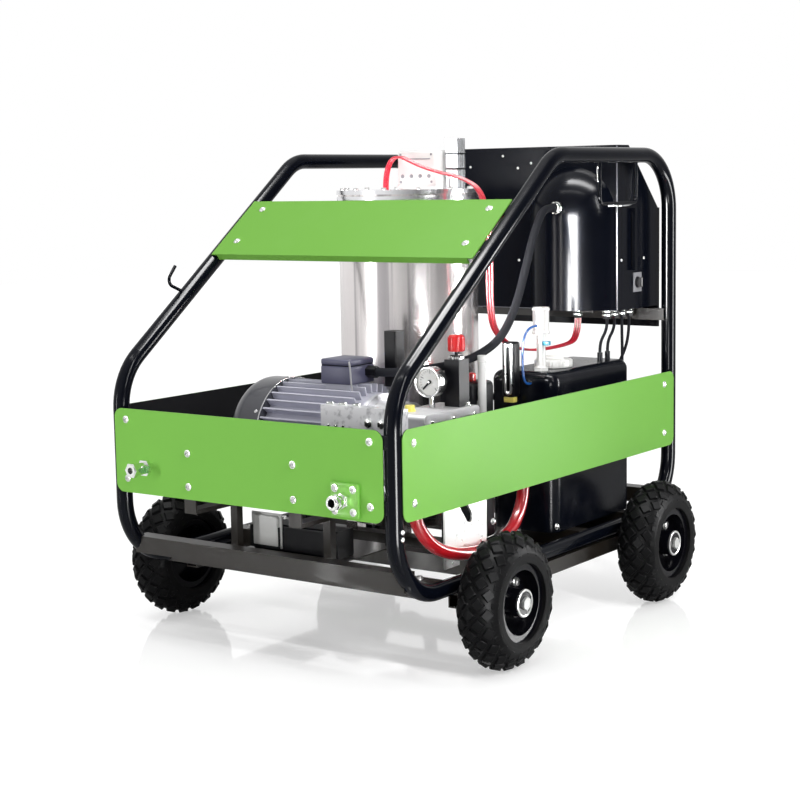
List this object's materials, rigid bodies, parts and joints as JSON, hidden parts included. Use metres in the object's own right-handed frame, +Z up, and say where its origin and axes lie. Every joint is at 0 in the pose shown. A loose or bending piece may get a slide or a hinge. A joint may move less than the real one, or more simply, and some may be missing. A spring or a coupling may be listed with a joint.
{
  "type": "pressure washer",
  "caption": "Wheeled electric hot-water pressure washer: tube frame with green panels, motor and plunger pump, upright boiler, water tank and control cabinet.",
  "frame": {"origin": "centre of the machine's footprint on the ground", "axes": "+X to the pump's side, +Y to the cabinet end, away from the water connections, +Z up"},
  "size_m": [1.072, 1.3468, 1.1669],
  "materials": {
    "black_paint": "gloss paint",
    "green_paint": "satin powder coat",
    "motor_paint": "satin paint",
    "bare_aluminium": "satin",
    "cast_grey": "cast",
    "brass": "satin",
    "stainless": "brushed",
    "zinc": "zinc plated",
    "rim_paint": "gloss paint",
    "tyre": "matt",
    "black_plastic": "matt",
    "tank_plastic": "gloss",
    "white_plastic": "satin",
    "red_plastic": "gloss",
    "red_rubber": "satin",
    "black_rubber": "satin",
    "red_wire": "satin"
  },
  "bodies": {
    "chassis": {"side_hoop_right": "black_paint", "side_hoop_left": "black_paint", "chassis_beams": "black_paint", "stub_axles": "zinc", "front_panel": "green_paint", "side_panel_right": "green_paint", "side_panel_left": "green_paint", "top_panel": "green_paint", "panel_bolts": "zinc", "hose_hooks": "zinc", "motor_stand": "black_paint", "motor_body": "motor_paint", "fan_cowl": "motor_paint", "motor_terminal_box": "motor_paint", "bell_housing": "bare_aluminium", "pump_crankcase": "cast_grey", "pump_head": "brass", "pump_plungers": "stainless", "unloader_valve": "brass", "pressure_gauge": "stainless", "pressure_switch": "black_plastic", "pump_bracket": "zinc", "flow_switch": "black_plastic", "boiler_shell": "stainless", "boiler_lid": "stainless", "heating_elements": "stainless", "terminal_cover": "white_plastic", "vent_post": "bare_aluminium", "water_tank": "tank_plastic", "float_valve": "white_plastic", "sight_tube": "stainless", "detergent_tank": "black_plastic", "cabinet_shell": "black_paint", "contactors": "black_plastic", "cable_glands": "black_plastic", "inlet_valve": "brass", "outlet_coupler": "zinc", "suction_hose": "red_rubber", "motor_conduit": "black_rubber", "heater_wires": "red_wire", "cabinet_cables": "black_rubber"},
    "rotor": {"motor_shaft": "zinc", "cooling_fan": "black_plastic", "pump_crankshaft": "zinc"},
    "lever": {"inlet_lever": "zinc"},
    "knob": {"unloader_knob": "red_plastic"},
    "needle": {"gauge_needle": "black_plastic"},
    "door": {"cabinet_door": "black_paint"},
    "latch": {"door_latch": "zinc"},
    "switch_knob": {"main_switch": "black_plastic"},
    "cap": {"tank_cap": "white_plastic"},
    "float": {"float_arm": "brass"},
    "wheel_front_right": {"tyre_front_right": "tyre", "rim_front_right": "rim_paint"},
    "wheel_front_left": {"tyre_front_left": "tyre", "rim_front_left": "rim_paint"},
    "wheel_rear_right": {"tyre_rear_right": "tyre", "rim_rear_right": "rim_paint"},
    "wheel_rear_left": {"tyre_rear_left": "tyre", "rim_rear_left": "rim_paint"}
  },
  "joints": [
    {"name": "wheel_front_right_spin", "type": "hinge", "parent": "chassis", "child": "wheel_front_right", "pos_m": [0.48, -0.3154, 0.153], "axis": [1, 0, 0], "continuous": true},
    {"name": "wheel_front_left_spin", "type": "hinge", "parent": "chassis", "child": "wheel_front_left", "pos_m": [-0.48, -0.3154, 0.153], "axis": [1, 0, 0], "continuous": true},
    {"name": "wheel_rear_right_spin", "type": "hinge", "parent": "chassis", "child": "wheel_rear_right", "pos_m": [0.48, 0.4046, 0.153], "axis": [1, 0, 0], "continuous": true},
    {"name": "wheel_rear_left_spin", "type": "hinge", "parent": "chassis", "child": "wheel_rear_left", "pos_m": [-0.48, 0.4046, 0.153], "axis": [1, 0, 0], "continuous": true},
    {"name": "rotor_spin", "type": "hinge", "parent": "chassis", "child": "rotor", "pos_m": [0, -0.3284, 0.48], "axis": [1, 0, 0], "continuous": true},
    {"name": "lever_turn", "type": "hinge", "parent": "chassis", "child": "lever", "pos_m": [-0.2777, -0.6404, 0.427], "axis": [1, 0, 0], "range_deg": [0, 90]},
    {"name": "knob_turn", "type": "hinge", "parent": "chassis", "child": "knob", "pos_m": [0.304, -0.2334, 0.686], "axis": [0, 0, 1], "range_deg": [-180, 180]},
    {"name": "needle_turn", "type": "hinge", "parent": "chassis", "child": "needle", "pos_m": [0.268, -0.2904, 0.62], "axis": [0, 1, 0], "range_deg": [0, 270]},
    {"name": "door_swing", "type": "hinge", "parent": "chassis", "child": "door", "pos_m": [-0.121, 0.6641, 0.83], "axis": [0, 0, 1], "range_deg": [0, 110]},
    {"name": "latch_turn", "type": "hinge", "parent": "door", "child": "latch", "pos_m": [0.322, 0.6666, 0.86], "axis": [0, 1, 0], "range_deg": [0, 90]},
    {"name": "switch_turn", "type": "hinge", "parent": "chassis", "child": "switch_knob", "pos_m": [0.35, 0.5436, 0.797], "axis": [1, 0, 0], "range_deg": [0, 90]},
    {"name": "cap_turn", "type": "hinge", "parent": "chassis", "child": "cap", "pos_m": [0.27, 0.2516, 0.601], "axis": [0, 0, 1], "range_deg": [0, 270]},
    {"name": "float_swing", "type": "hinge", "parent": "chassis", "child": "float", "pos_m": [0.285, 0.1676, 0.56], "axis": [1, 0, 0], "range_deg": [0, 30]}
  ]
}
